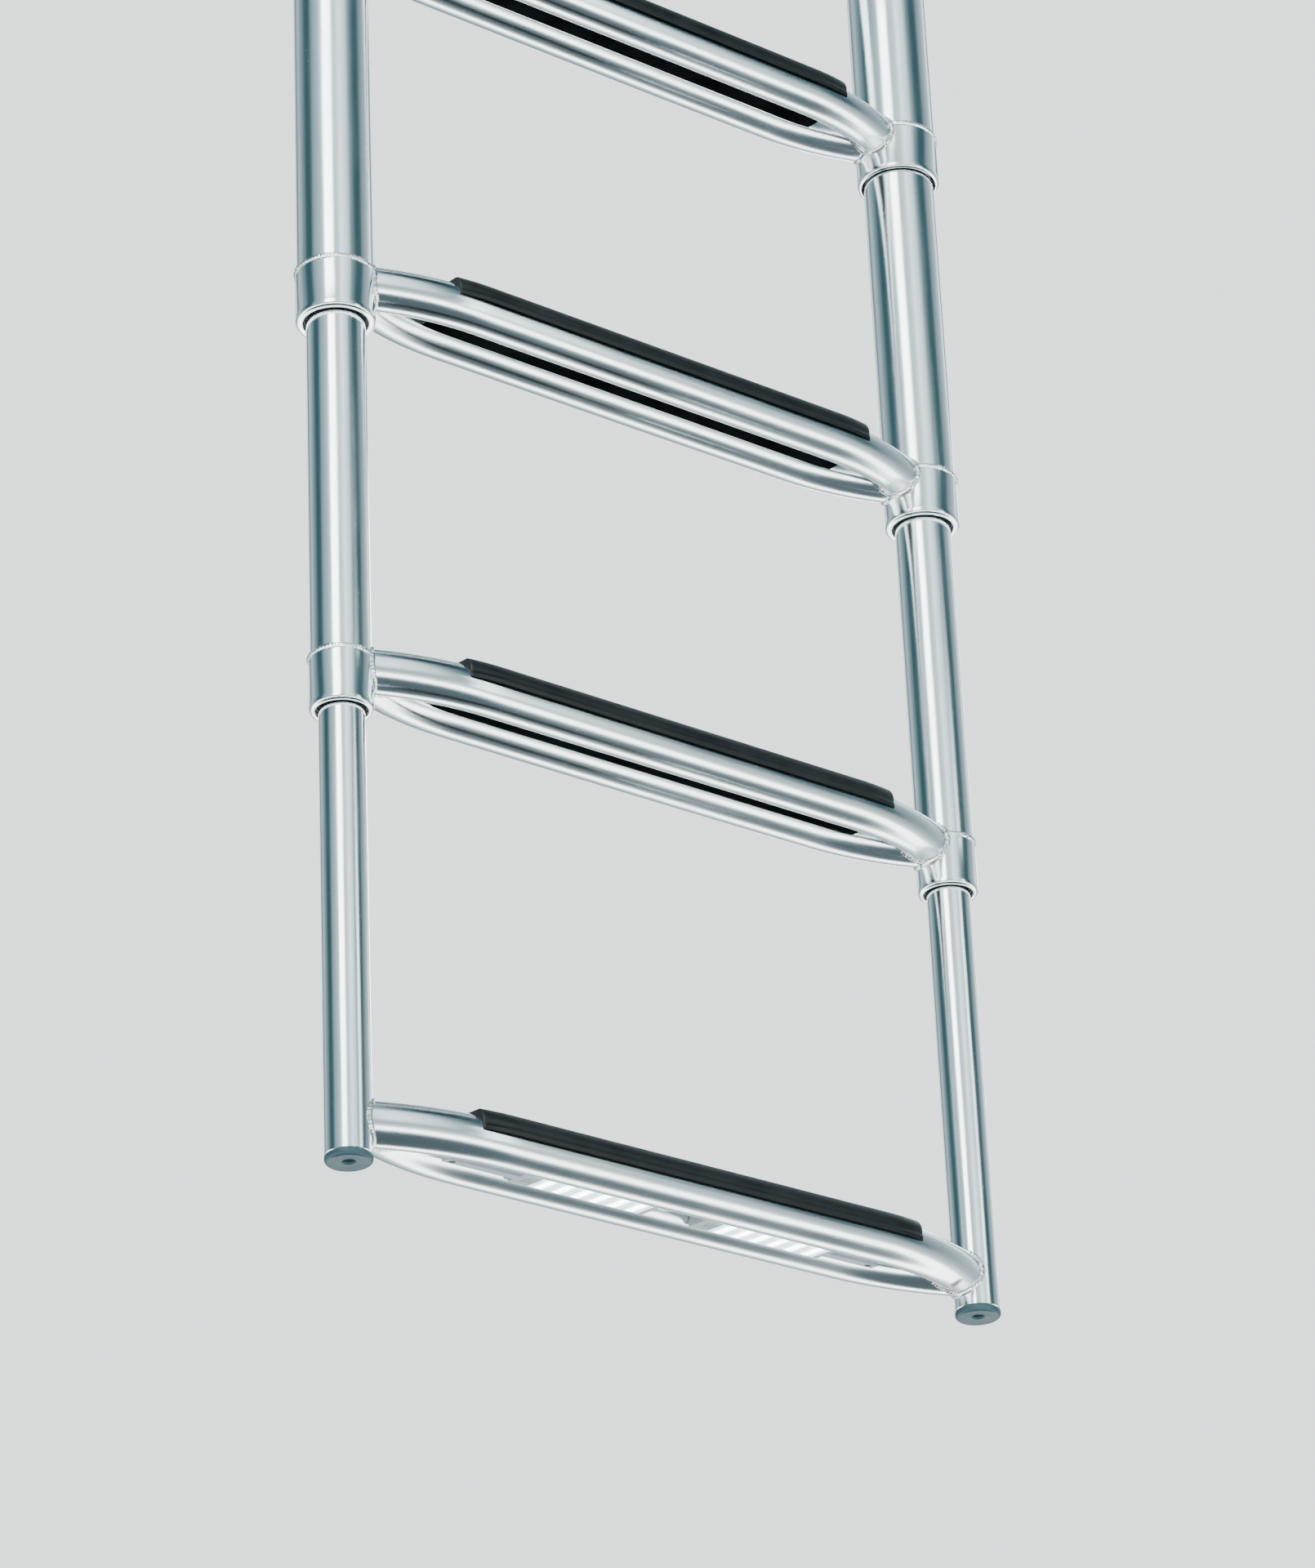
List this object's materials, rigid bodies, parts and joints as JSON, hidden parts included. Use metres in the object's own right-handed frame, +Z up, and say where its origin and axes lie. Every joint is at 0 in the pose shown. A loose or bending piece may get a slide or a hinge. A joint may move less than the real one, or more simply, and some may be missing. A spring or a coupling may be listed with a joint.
{
  "type": "boat boarding ladder",
  "caption": "Telescoping stainless boarding ladder: nested tube stiles, twin-rail padded treads, lamps under the lowest tread, and a swing-up pivot mount.",
  "frame": {"origin": "centre of the mounting plate's underside, where it lies on the swim platform", "axes": "+Z up, +Y inboard over the platform, +X along the treads"},
  "size_m": [0.5, 0.17, 1.1388],
  "materials": {
    "steel": "polished stainless steel",
    "fastener": "satin stainless steel",
    "pad": "moulded ribbed non-slip rubber",
    "bush": "black acetal bush",
    "plug": "dark grey moulded end plug",
    "housing": "grey moulded lamp housing",
    "lens": "clear lamp lens"
  },
  "bodies": {
    "mount": {"mounting_plate": "steel", "clevis_left": "steel", "pivot_bolt_left": "fastener", "pivot_nut_left": "fastener", "clevis_right": "steel", "pivot_bolt_right": "fastener", "pivot_nut_right": "fastener"},
    "section_1": {"tube_1_left": "steel", "hinge_tongue_left": "steel", "collar_1_left": "steel", "bush_1_left": "bush", "tube_1_right": "steel", "hinge_tongue_right": "steel", "collar_1_right": "steel", "bush_1_right": "bush", "rail_1_front": "steel", "rail_1_rear": "steel", "pad_1": "pad"},
    "section_2": {"tube_2_left": "steel", "collar_2_left": "steel", "bush_2_left": "bush", "guide_ring_2_left": "bush", "tube_2_right": "steel", "collar_2_right": "steel", "bush_2_right": "bush", "guide_ring_2_right": "bush", "rail_2_front": "steel", "rail_2_rear": "steel", "pad_2": "pad"},
    "section_3": {"tube_3_left": "steel", "collar_3_left": "steel", "bush_3_left": "bush", "guide_ring_3_left": "bush", "tube_3_right": "steel", "collar_3_right": "steel", "bush_3_right": "bush", "guide_ring_3_right": "bush", "rail_3_front": "steel", "rail_3_rear": "steel", "pad_3": "pad"},
    "section_4": {"tube_4_left": "steel", "end_plug_left": "plug", "guide_ring_4_left": "bush", "tube_4_right": "steel", "end_plug_right": "plug", "guide_ring_4_right": "bush", "rail_4_front": "steel", "rail_4_rear": "steel", "pad_4": "pad", "lamp_housing_left": "housing", "lamp_lens_left": "lens", "lamp_housing_right": "housing", "lamp_lens_right": "lens"}
  },
  "joints": [
    {"name": "swing", "type": "hinge", "parent": "mount", "child": "section_1", "pos_m": [0, -0.085, 0.04], "axis": [-1, 0, 0], "range_deg": [0, 270]},
    {"name": "slide_2", "type": "slide", "parent": "section_1", "child": "section_2", "axis": [0, 0, 1], "range_m": [0, 0.205]},
    {"name": "slide_3", "type": "slide", "parent": "section_2", "child": "section_3", "axis": [0, 0, 1], "range_m": [0, 0.205]},
    {"name": "slide_4", "type": "slide", "parent": "section_3", "child": "section_4", "axis": [0, 0, 1], "range_m": [0, 0.2289]}
  ]
}
